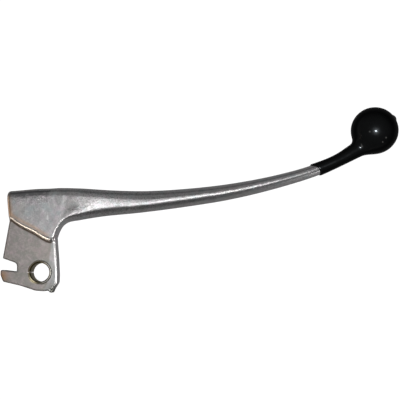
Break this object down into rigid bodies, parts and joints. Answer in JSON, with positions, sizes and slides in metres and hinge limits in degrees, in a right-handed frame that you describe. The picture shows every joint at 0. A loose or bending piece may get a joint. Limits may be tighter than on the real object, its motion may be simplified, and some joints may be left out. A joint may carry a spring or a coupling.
{
  "type": "clutch lever",
  "caption": "Cast hand lever with a split pivot bush, an open cable notch, a curved tapering blade and a ball end with a dipped cover.",
  "frame": {"origin": "on the pivot axis, half way through the thickness of the tongue", "axes": "+Z along the pivot axis, +X from the pivot towards the ball end, +Y away from the handlebar, square to both"},
  "size_m": [0.1781, 0.0837, 0.0212],
  "materials": {
    "cast_aluminium": "satin, tumbled casting with fine mottling",
    "bush_bronze": "dull olive bronze, worn bright at the rims",
    "dipped_black": "gloss, dipped soft plastic"
  },
  "bodies": {
    "bush": {"pivot_bush": "bush_bronze"},
    "lever": {"lever_blade": "cast_aluminium", "ball_cover": "dipped_black"}
  },
  "joints": [
    {"name": "lever_swing", "type": "hinge", "parent": "bush", "child": "lever", "pos_m": [0, 0, 0], "axis": [0, 0, -1], "range_deg": [0, 27]}
  ]
}
